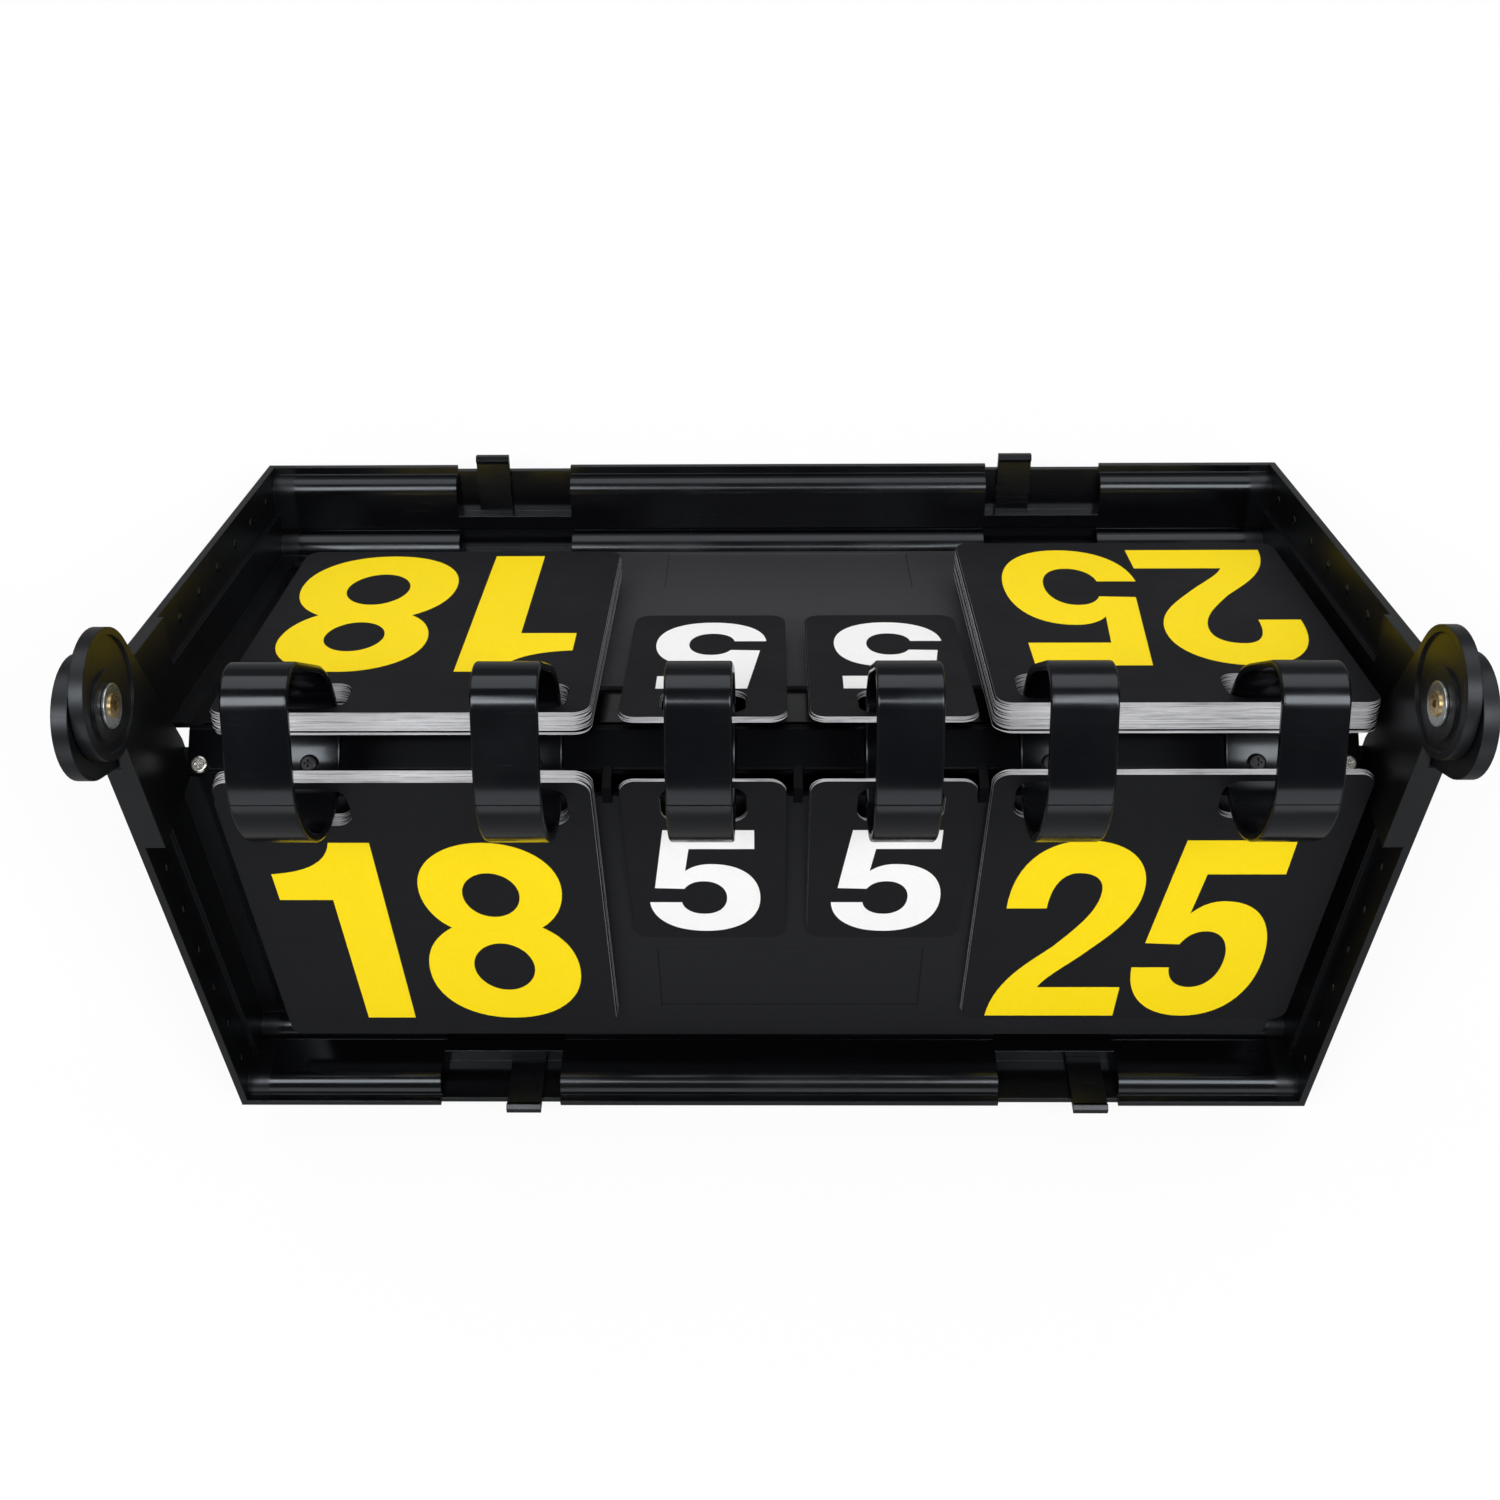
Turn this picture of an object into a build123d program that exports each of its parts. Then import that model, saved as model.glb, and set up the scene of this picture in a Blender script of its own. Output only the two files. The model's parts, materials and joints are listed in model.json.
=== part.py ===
"""A folding flip scoreboard, standing open like a tent.

Two shallow half cases are riveted together at their end ears. The front half carries a bar with
six flat rings, and the number cards hang on the rings by two slots each, or by one on the small
set cards. The origin is on the table under the middle of the ridge, +X runs along the ridge,
-Y is the front and +Z is up. Sizes are in millimetres.
"""

import os
from math import acos, asin, atan2, cos, degrees, hypot, radians, sin

from build123d import *

os.makedirs("parts", exist_ok=True)

# Case: two half cases, each leaning from the vertical when the board stands open
case_width = 390.0
case_reach = 202.0
case_depth = 34.0
wall = 2.5
floor_thickness = 2.0
lean_angle = 37.15
foot_cut = 1.2
cut_over = 1.0

# Case details
ledge_depth = 17.0
ledge_step = 1.5
bead_radius = 6.0
bead_top = 3.0
bead_bottom = 23.0
foot_bead_radius = 7.5
notch_centres = (-99.5, 105.0)
notch_width = 44.0
notch_drop = 1.5
pocket_depth = 18.0
front_tab_centres = (-90.2, 115.8)
rear_tab_centres = (-107.1, 93.8)

# Ears that join the halves at the ridge, and the rivet through them
ear_back = 2.0
ear_drop = 2.6
front_ear_radius = 19.0
rear_ear_radius = 18.0
front_ear_thickness = 4.0
rear_ear_thickness = 4.5
ear_gap = 0.3
ear_dish = 0.8
ear_lip = 2.2
boss_radius = 10.5
rim_start = 25.5
back_corner = 46.5
floor_start = 50.0
ear_plate_end = 60.0
rivet_radius = 2.5
rivet_bore_radius = 1.2
rivet_head_radius = 3.6
rivet_head_height = 0.5
rivet_head_play = 0.25
rivet_recess_clearance = 0.6
washer_radius = 6.5
washer_thickness = 1.0
washer_edge = 0.3
running_clearance = 0.05

# Backing panels
panel_half_width = 178.0
panel_shift = 2.0
front_panel_depth = 19.0
rear_panel_depth = 30.5
front_panel_thickness = 2.0
panel_corner = 4.0
front_panel_start = 57.0
front_panel_margin = 18.0
rear_panel_start = 72.0
rear_panel_gap = 0.5
label_width = 92.0
label_height = 33.0
label_centre = 6.5
label_recess = 0.5
front_label_margin = 17.5
rear_label_margin = 2.0
post_radius = 3.5
post_inset = 12.0
upper_post_inset = 14.0
lower_post_inset = 8.0

# Rings and the bar that carries them
ring_y = -9.8
ring_below_ridge = 24.5
ring_centres = (-143.8, -74.3, -20.5, 38.5, 86.5, 150.0)
ring_radius = 25.0
ring_straight = 3.0
ring_band = 2.5
ring_width = 19.0
ring_edge = 0.8
crown_radius = 10.25
crown_back = 11.5
crown_rise = 20.3
clip_band = 2.8
clip_start = 133.0
clip_end = 260.0
clip_gap = 0.2
bar_width = 15.7
bar_height = 6.0
bar_length = 364.0
bar_shift = 4.65
bar_edge = 2.0
saddle_depth = 2.25
saddle_clearance = 0.1
leg_width = 7.0
end_leg_inset = 8.0
leg_panel_gap = 1.0
leg_top_gap = 0.2
leg_overhang = 0.5
leg_foot_gap = 0.3
leg_shoulder = 1.0
leg_neck = 2.0
divider_width = 3.0
divider_rise = 4.0
screw_radius = 1.5
screw_head_radius = 2.75
screw_head_height = 1.8
screw_clearance = 0.1
screw_depth = 4.0
screw_hole_depth = 5.0
screw_head_edge = 0.8
screw_cross_length = 2.6
screw_cross_width = 0.6
screw_cross_depth = 0.8
end_screw_inset = 4.0
end_screw_y = -10.0

# Number cards
card_thickness = 0.35
card_pitch = 0.395
score_width = 116.0
score_length = 128.0
set_width = 51.0
set_length = 83.0
card_corner = 5.0
slot_width = 27.0
slot_height = 16.8
slot_corner = 5.5
slot_reach = 28.95
card_start = 17.6
card_middles = {"score_left": -113.5, "set_left": -21.0, "set_right": 37.5, "score_right": 126.1}
slot_middles = {
    "score_left": (-144.0, -76.3),
    "set_left": (-21.0,),
    "set_right": (40.0,),
    "score_right": (88.5, 152.0),
}
card_play = 0.5
play_turn = 2.4
loose_cards = 2
loose_gap = 0.6
landing_gap = 0.2
seat_gap = 0.3
front_counts = {"score_left": 12, "set_left": 2, "set_right": 2, "score_right": 5}
rear_counts = {"score_left": 18, "set_left": 5, "set_right": 5, "score_right": 25}
top_card_offset = {"score_left": -4.0, "set_left": -3.2, "set_right": -3.2, "score_right": -7.1}

# Snap tabs in the outer walls
tab_width = 12.5
tab_thickness = 2.2
tab_gap = 0.3
tab_rise = 5.0
tab_root = 4.0
tab_barb = 1.0
tab_barb_height = 3.0
tab_slot_clearance = 0.05

# Worked out from the sizes above
lean = radians(lean_angle)
ridge_height = case_reach * cos(lean) + case_depth * sin(lean) - foot_cut
ring_z = ridge_height - ring_below_ridge
half_width = case_width / 2
floor_top = -case_depth + floor_thickness
front_ear_outside = half_width - rear_ear_thickness - ear_gap
front_ear_inside = front_ear_outside - front_ear_thickness
wall_inside = case_reach - wall
ring_low = ring_z - ring_straight
ledge_inside = wall_inside - wall - ledge_step
front_panel_end = case_reach - front_panel_margin
rear_panel_end = ledge_inside - foot_bead_radius - rear_panel_gap
rivet_recess_depth = rivet_head_height + 2 * rivet_head_play


def leaf_plane(side, origin, angle):
    """Plane of a leaf hanging at an angle from the vertical: x across, y down it, z outwards."""
    way = -1 if side == "front" else 1
    return Plane(origin=origin, x_dir=(way, 0, 0), z_dir=(0, way * cos(angle), sin(angle)))


def half_plane(side):
    """Plane of a half case's rim, through the pivot axis."""
    return leaf_plane(side, (0, 0, ridge_height), lean)


def side_plane(plane, x):
    """Plane square to the ridge: x down the slope, y out of the open side."""
    return Plane(origin=plane.from_local_coords((x, 0, 0)), x_dir=plane.y_dir, z_dir=plane.x_dir)


def tangent_point(centre, radius, point):
    """Where the line from a point touches the lower side of a circle."""
    dx = point[0] - centre[0]
    dy = point[1] - centre[1]
    turn = atan2(dy, dx) - acos(radius / hypot(dx, dy))
    return (centre[0] + radius * cos(turn), centre[1] + radius * sin(turn))


def tangent_angle(centre, radius, other_centre, other_radius, way):
    """Angle in degrees at which a line lies against two circles, on the left (1) or the right (-1)."""
    dx = other_centre[0] - centre[0]
    dy = other_centre[1] - centre[1]
    return degrees(atan2(dy, dx) + way * acos((radius - other_radius) / hypot(dx, dy)))


def half_case(side):
    """The tub of one half case: floor, side walls with a ledge, and the beaded outer wall."""
    plane = half_plane(side)
    way = -1 if side == "front" else 1
    with BuildPart() as tub:
        with BuildSketch(side_plane(plane, -half_width)):
            Polygon(
                (rim_start, 0), (case_reach, 0), (case_reach, -case_depth), (back_corner, -case_depth),
                align=None,
            )
        extrude(amount=case_width)
        with BuildSketch(side_plane(plane, -half_width + wall)):
            Polygon(
                (0, cut_over), (wall_inside, cut_over), (wall_inside, -ledge_depth), (0, -ledge_depth),
                align=None,
            )
        extrude(amount=case_width - 2 * wall, mode=Mode.SUBTRACT)
        with BuildSketch(side_plane(plane, -half_width + wall + ledge_step)):
            Polygon(
                (0, 0), (wall_inside, 0), (wall_inside, floor_top), (floor_start, floor_top),
                (floor_start, -case_depth - cut_over), (0, -case_depth - cut_over),
                align=None,
            )
        extrude(amount=case_width - 2 * (wall + ledge_step), mode=Mode.SUBTRACT)
        # The outer wall's bead, and the quarter round at its foot
        with BuildSketch(side_plane(plane, -half_width + wall)):
            with BuildLine():
                bead = CenterArc((wall_inside, -bead_top - bead_radius), bead_radius, 90, 90)
                back = Line(bead @ 1, (wall_inside - bead_radius, -bead_bottom))
                round_top = (ledge_inside, floor_top + foot_bead_radius)
                step = Line(back @ 1, round_top)
                foot = CenterArc((round_top[0], floor_top), foot_bead_radius, 90, 90)
                under = Line(foot @ 1, (wall_inside, floor_top))
                Line(under @ 1, bead @ 0)
            make_face()
        extrude(amount=case_width - 2 * wall)
        # Notches in the rim, with the pockets that take the other half's snap tabs
        for centre in notch_centres:
            x = way * centre
            with BuildSketch(plane.offset(-pocket_depth)):
                with Locations((x, wall_inside - bead_radius)):
                    Rectangle(notch_width, 2 * bead_radius)
            extrude(amount=pocket_depth + cut_over, mode=Mode.SUBTRACT)
            with BuildSketch(plane.offset(-notch_drop)):
                with Locations((x, case_reach)):
                    Rectangle(notch_width, 2 * (wall + cut_over))
            extrude(amount=notch_drop + cut_over, mode=Mode.SUBTRACT)
            with BuildSketch(plane.offset(floor_top)):
                with Locations((x, ledge_inside - foot_bead_radius)):
                    Rectangle(notch_width, 2 * foot_bead_radius)
            extrude(amount=foot_bead_radius + cut_over, mode=Mode.SUBTRACT)
        # Slots that hold the roots of this half's own tabs
        slot_play = 2 * tab_slot_clearance
        for centre in front_tab_centres if side == "front" else rear_tab_centres:
            with BuildSketch(plane.offset(-pocket_depth - tab_root)):
                with Locations((way * centre, wall_inside - tab_gap - tab_thickness / 2)):
                    Rectangle(tab_width + slot_play, tab_thickness + slot_play)
            extrude(amount=tab_root, mode=Mode.SUBTRACT)
    return tub.part


def ear_outline(plane, x, radius):
    """An ear: a disc round the pivot that runs straight into the case's back corner."""
    centre = (-ear_back, -ear_drop)
    corner = (back_corner, -case_depth)
    touch = tangent_point(centre, radius, corner)
    with BuildSketch(side_plane(plane, x)) as outline:
        Polygon(
            centre, touch, corner, (ear_plate_end, -case_depth), (ear_plate_end, 0), (0, 0),
            align=None,
        )
        with Locations(centre):
            Circle(radius)
    return outline.sketch


# Front half case: the inner ears, with a web out to the side walls, and the posts of the panel
front = half_plane("front")
with BuildPart() as front_tray:
    add(half_case("front"))
    for x in (-front_ear_outside, front_ear_inside):
        extrude(ear_outline(front, x, front_ear_radius), front_ear_thickness)
    for x in (-half_width, front_ear_outside):
        with BuildSketch(side_plane(front, x)):
            Polygon(
                (rim_start, 0), (ear_plate_end, 0),
                (ear_plate_end, -case_depth), (back_corner, -case_depth),
                align=None,
            )
        extrude(amount=half_width - front_ear_outside)
    # Dish in the inside face of each ear, with a raised boss under the washer
    for x in (-front_ear_inside - ear_dish, front_ear_inside):
        with BuildSketch(side_plane(front, x)):
            with Locations((-ear_back, -ear_drop)):
                Circle(front_ear_radius - ear_lip)
            Circle(boss_radius, mode=Mode.SUBTRACT)
        extrude(amount=ear_dish, mode=Mode.SUBTRACT)
    with BuildSketch(side_plane(front, -half_width)):
        Circle(rivet_radius)
    extrude(amount=case_width, mode=Mode.SUBTRACT)
    # Posts that carry the front panel
    with BuildSketch(front.offset(floor_top)):
        post_x = panel_half_width - post_inset
        upper_post = front_panel_start + upper_post_inset
        lower_post = front_panel_end - lower_post_inset
        for u in (upper_post, (upper_post + lower_post) / 2, lower_post):
            with Locations((-panel_shift - post_x, u), (-panel_shift + post_x, u)):
                Circle(post_radius)
    extrude(amount=-floor_top - front_panel_depth - front_panel_thickness)
    split(bisect_by=Plane.XY, keep=Keep.TOP)
front_tray.part.label = "front_tray"
export_step(front_tray.part, "parts/front_tray.step")

# Rear half case: the outer ears, flush with the side walls
rear = half_plane("rear")
with BuildPart() as rear_tray:
    add(half_case("rear"))
    for x in (-half_width, half_width - rear_ear_thickness):
        extrude(ear_outline(rear, x, rear_ear_radius), rear_ear_thickness)
    with BuildSketch(side_plane(rear, -half_width)):
        Circle(rivet_radius + running_clearance)
    extrude(amount=case_width, mode=Mode.SUBTRACT)
    # Recess for the rivet's outer head
    for x in (-half_width, half_width - rivet_recess_depth):
        with BuildSketch(side_plane(rear, x)):
            Circle(rivet_head_radius + rivet_recess_clearance)
        extrude(amount=rivet_recess_depth, mode=Mode.SUBTRACT)
    split(bisect_by=Plane.XY, keep=Keep.TOP)
rear_tray.part.label = "rear_tray"
export_step(rear_tray.part, "parts/rear_tray.step")


# Backing panels: a flat plate behind the cards, with a shallow bare recess for a label
rear_panel_thickness = -rear_panel_depth - floor_top
panel_sizes = {
    "front": (front_panel_depth, front_panel_thickness, front_panel_start, front_panel_end, front_label_margin),
    "rear": (rear_panel_depth, rear_panel_thickness, rear_panel_start, rear_panel_end, rear_label_margin),
}
for side, (depth, thickness, start, end, margin) in panel_sizes.items():
    way = -1 if side == "front" else 1
    face = half_plane(side).offset(-depth)
    with BuildPart() as panel:
        with BuildSketch(face.offset(-thickness)):
            with Locations((way * panel_shift, (start + end) / 2)):
                RectangleRounded(2 * panel_half_width, end - start, panel_corner)
        extrude(amount=thickness)
        with BuildSketch(face):
            with Locations((way * label_centre, end - margin - label_height / 2)):
                Rectangle(label_width, label_height)
        extrude(amount=-label_recess, mode=Mode.SUBTRACT)
    panel.part.label = side + "_panel"
    export_step(panel.part, "parts/" + side + "_panel.step")

# Rivets on the pivot axis, one at each end, with the zinc washers under their inner heads
boss_face = front_ear_inside
for name, way in (("left", -1), ("right", 1)):
    ridge_end = Plane(origin=(way * boss_face, 0, ridge_height), z_dir=(way, 0, 0))
    with BuildPart() as washer:
        with BuildSketch(ridge_end.offset(-washer_thickness)):
            Circle(washer_radius)
            Circle(rivet_radius + running_clearance, mode=Mode.SUBTRACT)
        extrude(amount=washer_thickness)
        fillet(washer.edges().filter_by(GeomType.CIRCLE).group_by(SortBy.RADIUS)[-1], washer_edge)
    washer.part.label = "hinge_washer_" + name
    export_step(washer.part, "parts/hinge_washer_" + name + ".step")
    outer_head = half_width - boss_face - rivet_head_play - rivet_head_height
    with BuildPart() as rivet:
        with BuildSketch(ridge_end.offset(-washer_thickness)):
            Circle(rivet_radius)
        extrude(amount=washer_thickness + outer_head)
        with BuildSketch(ridge_end.offset(-washer_thickness - rivet_head_height)):
            Circle(rivet_head_radius)
        extrude(amount=rivet_head_height)
        with BuildSketch(ridge_end.offset(outer_head)):
            Circle(rivet_head_radius)
        extrude(amount=rivet_head_height)
        with BuildSketch(ridge_end.offset(-washer_thickness - rivet_head_height)):
            Circle(rivet_bore_radius)
        extrude(amount=washer_thickness + outer_head + 2 * rivet_head_height, mode=Mode.SUBTRACT)
    rivet.part.label = "hinge_rivet_" + name
    export_step(rivet.part, "parts/hinge_rivet_" + name + ".step")

# Ring bar: lies along the bottom of the rings, on legs that stand on the front case's floor
bar_top = ring_low - ring_radius - ring_band / 2 + saddle_depth
bar_y = ring_y + bar_shift
bar_middle = front.to_local_coords(Vector(0, bar_y, bar_top - bar_height / 2))
leg_end = front_panel_start - leg_panel_gap
end_leg_x = bar_length / 2 - end_leg_inset
end_leg_top = -front_panel_depth - front_panel_thickness - leg_top_gap
leg_places = [(x, leg_width, end_leg_top) for x in (-end_leg_x, end_leg_x)]
groups = ("score_left", "set_left", "set_right", "score_right")
for left, right in zip(groups, groups[1:]):
    left_width = score_width if left.startswith("score") else set_width
    right_width = score_width if right.startswith("score") else set_width
    gap_middle = (card_middles[left] + left_width / 2 + card_middles[right] - right_width / 2) / 2
    leg_places.append((gap_middle, divider_width, -front_panel_depth + divider_rise))
with BuildPart() as ring_bar:
    with BuildSketch(Plane.YZ.offset(-bar_length / 2)):
        with Locations((bar_y, bar_top - bar_height / 2)):
            Rectangle(bar_width, bar_height)
    extrude(amount=bar_length)
    fillet(ring_bar.edges().filter_by(Axis.X).group_by(Axis.Z)[-1], bar_edge)
    for x, width, top in leg_places:
        with BuildSketch(side_plane(front, -x - width / 2)):
            Polygon(
                (leg_end, floor_top), (leg_end, top), (floor_start - leg_overhang, top),
                (bar_middle.Y - leg_shoulder, bar_middle.Z), (bar_middle.Y, bar_middle.Z - leg_neck),
                (floor_start + leg_foot_gap, floor_top),
                align=None,
            )
        extrude(amount=width)
    for x in ring_centres:
        with BuildSketch(Plane.YZ.offset(x - ring_width / 2 - saddle_clearance)):
            with Locations((ring_y, ring_low)):
                Circle(ring_radius + ring_band / 2 + running_clearance)
        extrude(amount=ring_width + 2 * saddle_clearance, mode=Mode.SUBTRACT)
    screw_places = [(x, ring_y) for x in ring_centres]
    end_screw_x = bar_length / 2 - end_screw_inset
    end_places = [(-end_screw_x, end_screw_y), (end_screw_x, end_screw_y)]
    with BuildSketch(Plane.XY.offset(bar_top - screw_hole_depth)):
        with Locations(*screw_places, *end_places):
            Circle(screw_radius + screw_clearance)
    extrude(amount=screw_hole_depth + cut_over, mode=Mode.SUBTRACT)
ring_bar.part.label = "ring_bar"
export_step(ring_bar.part, "parts/ring_bar.step")

# Rings: a flat band with its crown at the back, open at the front, closed by a clip once the cards
# are on
ring_floor = ring_low - ring_radius + ring_band / 2
gap_angle = degrees(clip_gap / ring_radius)
crown_centre = (ring_y + crown_back, ring_z + crown_rise)
front_angle = tangent_angle((ring_y, ring_z), ring_radius, crown_centre, crown_radius, 1)
back_angle = tangent_angle((ring_y, ring_low), ring_radius, crown_centre, crown_radius, -1)
for number, x in enumerate(ring_centres, start=1):
    with BuildPart() as ring:
        with BuildLine(Plane.YZ.offset(x)) as round_the_back:
            front_top = CenterArc((ring_y, ring_z), ring_radius, clip_start, front_angle - clip_start)
            crown = CenterArc(crown_centre, crown_radius, front_angle, back_angle - front_angle)
            under = CenterArc((ring_y, ring_low), ring_radius, back_angle, clip_end - 360 - back_angle)
            Line(front_top @ 1, crown @ 0)
            Line(crown @ 1, under @ 0)
        with BuildSketch(Plane(origin=front_top @ 0, x_dir=(1, 0, 0), z_dir=front_top % 0)):
            RectangleRounded(ring_width, ring_band, ring_edge)
        sweep()
        # Hole for the screw, and a flat seat for its head
        with BuildSketch(Plane.XY.offset(ring_floor)):
            with Locations((x, ring_y)):
                Circle(screw_head_radius + screw_clearance)
        extrude(amount=screw_head_height, mode=Mode.SUBTRACT)
        with BuildSketch(Plane.XY.offset(ring_floor)):
            with Locations((x, ring_y)):
                Circle(screw_radius + screw_clearance)
        extrude(amount=-2 * ring_band, mode=Mode.SUBTRACT)
    ring.part.label = f"ring_{number}"
    export_step(ring.part, f"parts/ring_{number}.step")
    with BuildPart() as clip:
        with BuildLine(Plane.YZ.offset(x)) as down_the_front:
            start = clip_start + gap_angle
            over = CenterArc((ring_y, ring_z), ring_radius, start, 180 - start)
            Line(over @ 1, (ring_y - ring_radius, ring_low))
            CenterArc((ring_y, ring_low), ring_radius, 180, clip_end - gap_angle - 180)
        with BuildSketch(Plane(origin=over @ 0, x_dir=(1, 0, 0), z_dir=over % 0)):
            RectangleRounded(ring_width, clip_band, ring_edge)
        sweep()
    clip.part.label = f"ring_clip_{number}"
    export_step(clip.part, f"parts/ring_clip_{number}.step")

# Screws: one through each ring into the bar, and one at each end of the bar
screw_seats = {"ring_screws": (screw_places, ring_floor), "bar_screws": (end_places, bar_top)}
for name, (places, seat) in screw_seats.items():
    with BuildPart() as screws:
        with BuildSketch(Plane.XY.offset(seat)):
            with Locations(*places):
                Circle(screw_head_radius)
        extrude(amount=screw_head_height)
        fillet(screws.edges().group_by(Axis.Z)[-1], screw_head_edge)
        with BuildSketch(Plane.XY.offset(seat)):
            with Locations(*places):
                Circle(screw_radius)
        extrude(amount=bar_top - screw_depth - seat)
        with BuildSketch(Plane.XY.offset(seat + screw_head_height)):
            with Locations(*places):
                Rectangle(screw_cross_length, screw_cross_width)
                Rectangle(screw_cross_width, screw_cross_length)
        extrude(amount=-screw_cross_depth, mode=Mode.SUBTRACT)
    screws.part.label = name
    export_step(screws.part, "parts/" + name + ".step")


def card_size(group):
    """Width and length of the cards of one group."""
    if group.startswith("score"):
        return score_width, score_length
    return set_width, set_length


def card_tilt(side, bottom, length, panel_depth, room):
    """Angle in radians by which a pile's outer end drops towards its panel."""
    centre = half_plane(side).to_local_coords(Vector(0, ring_y, ring_z))
    outer_end = card_start + length
    return asin((centre.Z + bottom + panel_depth - room) / outer_end)


def card_pages(side, group, tilt, levels):
    """Cards of one pile: rounded sheets with their ring slots, each shifted a little by its play."""
    way = -1 if side == "front" else 1
    width, length = card_size(group)
    plane = leaf_plane(side, (0, ring_y, ring_z), lean - tilt)
    middle = card_start + length / 2
    with BuildPart() as pages:
        for k, level in enumerate(levels):
            play = card_play * sin(play_turn * k)
            with BuildSketch(plane.offset(level - card_thickness)):
                with Locations((way * card_middles[group] + play, middle)):
                    RectangleRounded(width, length, card_corner)
                with Locations(*[(way * slot + play, slot_reach) for slot in slot_middles[group]]):
                    RectangleRounded(slot_width, slot_height, slot_corner, mode=Mode.SUBTRACT)
            extrude(amount=card_thickness)
    return pages.part


# Number cards: the showing card and the pile under it at the front, and the pile at the rear
rear_centre = half_plane("rear").to_local_coords(Vector(0, ring_y, ring_z))
swing_room = hypot(rear_centre.Y, rear_centre.Z) + rear_centre.Z + seat_gap
flip_angles = {}
for group, offset in top_card_offset.items():
    length = card_size(group)[1]
    front_levels = [offset - card_pitch * (k + 1) for k in range(front_counts[group])]
    front_tilt = card_tilt("front", front_levels[-1] - card_thickness, length, front_panel_depth, seat_gap)
    with BuildPart() as showing:
        add(card_pages("front", group, front_tilt, [offset]))
    showing.part.label = group + "_card"
    export_step(showing.part, "parts/" + group + "_card.step")
    with BuildPart() as front_pile:
        add(card_pages("front", group, front_tilt, front_levels))
    front_pile.part.label = group + "_front_pile"
    export_step(front_pile.part, "parts/" + group + "_front_pile.step")
    rear_levels = [-offset - landing_gap - card_pitch * k for k in range(rear_counts[group])]
    if group.startswith("score"):
        rear_levels[-loose_cards:] = [level - loose_gap for level in rear_levels[-loose_cards:]]
    rear_tilt = card_tilt("rear", rear_levels[-1] - card_thickness, length, rear_panel_depth, swing_room)
    with BuildPart() as rear_pile:
        add(card_pages("rear", group, rear_tilt, rear_levels))
    rear_pile.part.label = group + "_rear_pile"
    export_step(rear_pile.part, "parts/" + group + "_rear_pile.step")
    flip_angles[group] = 360 - 2 * lean_angle + degrees(front_tilt + rear_tilt)

# Snap tabs: springy tongues rooted in the outer wall, which catch in the other half's pockets
tab_places = {"front": front_tab_centres, "rear": rear_tab_centres}
for side, centres in tab_places.items():
    way = -1 if side == "front" else 1
    plane = half_plane(side)
    for end, centre in zip(("left", "right"), centres):
        with BuildPart() as tab:
            with BuildSketch(side_plane(plane, way * centre - tab_width / 2)):
                outer = wall_inside - tab_gap
                inner = outer - tab_thickness
                Polygon(
                    (outer, -pocket_depth - tab_root), (outer, tab_rise), (inner, tab_rise),
                    (inner - tab_barb, tab_rise - tab_barb_height / 2), (inner, tab_rise - tab_barb_height),
                    (inner, -pocket_depth - tab_root),
                    align=None,
                )
            extrude(amount=tab_width)
        tab.part.label = f"{side}_snap_tab_{end}"
        export_step(tab.part, f"parts/{side}_snap_tab_{end}.step")

print("ridge height", round(ridge_height, 3), "ring centre", ring_y, round(ring_z, 3))
print("flip angles", {group: round(angle, 3) for group, angle in flip_angles.items()})
print("swing room", round(swing_room, 3))
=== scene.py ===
import json
from math import cos, radians, sin

import bmesh
import bpy
from mathutils import Matrix, Vector
from mathutils.geometry import tessellate_polygon


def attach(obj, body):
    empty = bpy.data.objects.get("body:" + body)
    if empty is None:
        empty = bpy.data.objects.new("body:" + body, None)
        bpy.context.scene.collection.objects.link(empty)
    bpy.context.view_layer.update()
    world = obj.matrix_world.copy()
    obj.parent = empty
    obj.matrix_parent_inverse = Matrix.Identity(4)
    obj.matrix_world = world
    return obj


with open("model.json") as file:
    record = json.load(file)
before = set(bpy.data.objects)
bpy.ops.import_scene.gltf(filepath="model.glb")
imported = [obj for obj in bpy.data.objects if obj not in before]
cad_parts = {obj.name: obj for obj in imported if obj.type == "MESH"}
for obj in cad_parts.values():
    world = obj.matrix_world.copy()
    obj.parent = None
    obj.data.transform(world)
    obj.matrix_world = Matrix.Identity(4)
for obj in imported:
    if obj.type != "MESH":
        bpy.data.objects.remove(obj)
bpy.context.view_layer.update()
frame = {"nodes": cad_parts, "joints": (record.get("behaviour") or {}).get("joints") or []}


# Helpers for the shader and geometry trees: groups, single nodes with fixed values, and the
# links between them.
def new_group(name, inputs, outputs):
    """An empty shader node group with float inputs and named outputs."""
    group = bpy.data.node_groups.new(name, "ShaderNodeTree")
    for socket, value in inputs:
        made = group.interface.new_socket(socket, in_out="INPUT", socket_type="NodeSocketFloat")
        made.default_value = value
    for socket, kind in outputs:
        group.interface.new_socket(socket, in_out="OUTPUT", socket_type=kind)
    return group, group.nodes.new("NodeGroupInput"), group.nodes.new("NodeGroupOutput")


def noise_node(tree, scale, detail=2.0, rough=0.5):
    """A noise texture with its own fixed scale."""
    noise = tree.nodes.new("ShaderNodeTexNoise")
    noise.inputs["Scale"].default_value = scale
    noise.inputs["Detail"].default_value = detail
    noise.inputs["Roughness"].default_value = rough
    return noise


def map_node(tree, from_low, from_high, to_low, to_high):
    """A map range node with fixed limits."""
    mapped = tree.nodes.new("ShaderNodeMapRange")
    mapped.inputs["From Min"].default_value = from_low
    mapped.inputs["From Max"].default_value = from_high
    mapped.inputs["To Min"].default_value = to_low
    mapped.inputs["To Max"].default_value = to_high
    return mapped


def math_node(tree, operation, second=None):
    """A math node, with its second value fixed where one is given."""
    node = tree.nodes.new("ShaderNodeMath")
    node.operation = operation
    if second is not None:
        node.inputs[1].default_value = second
    return node


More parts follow.
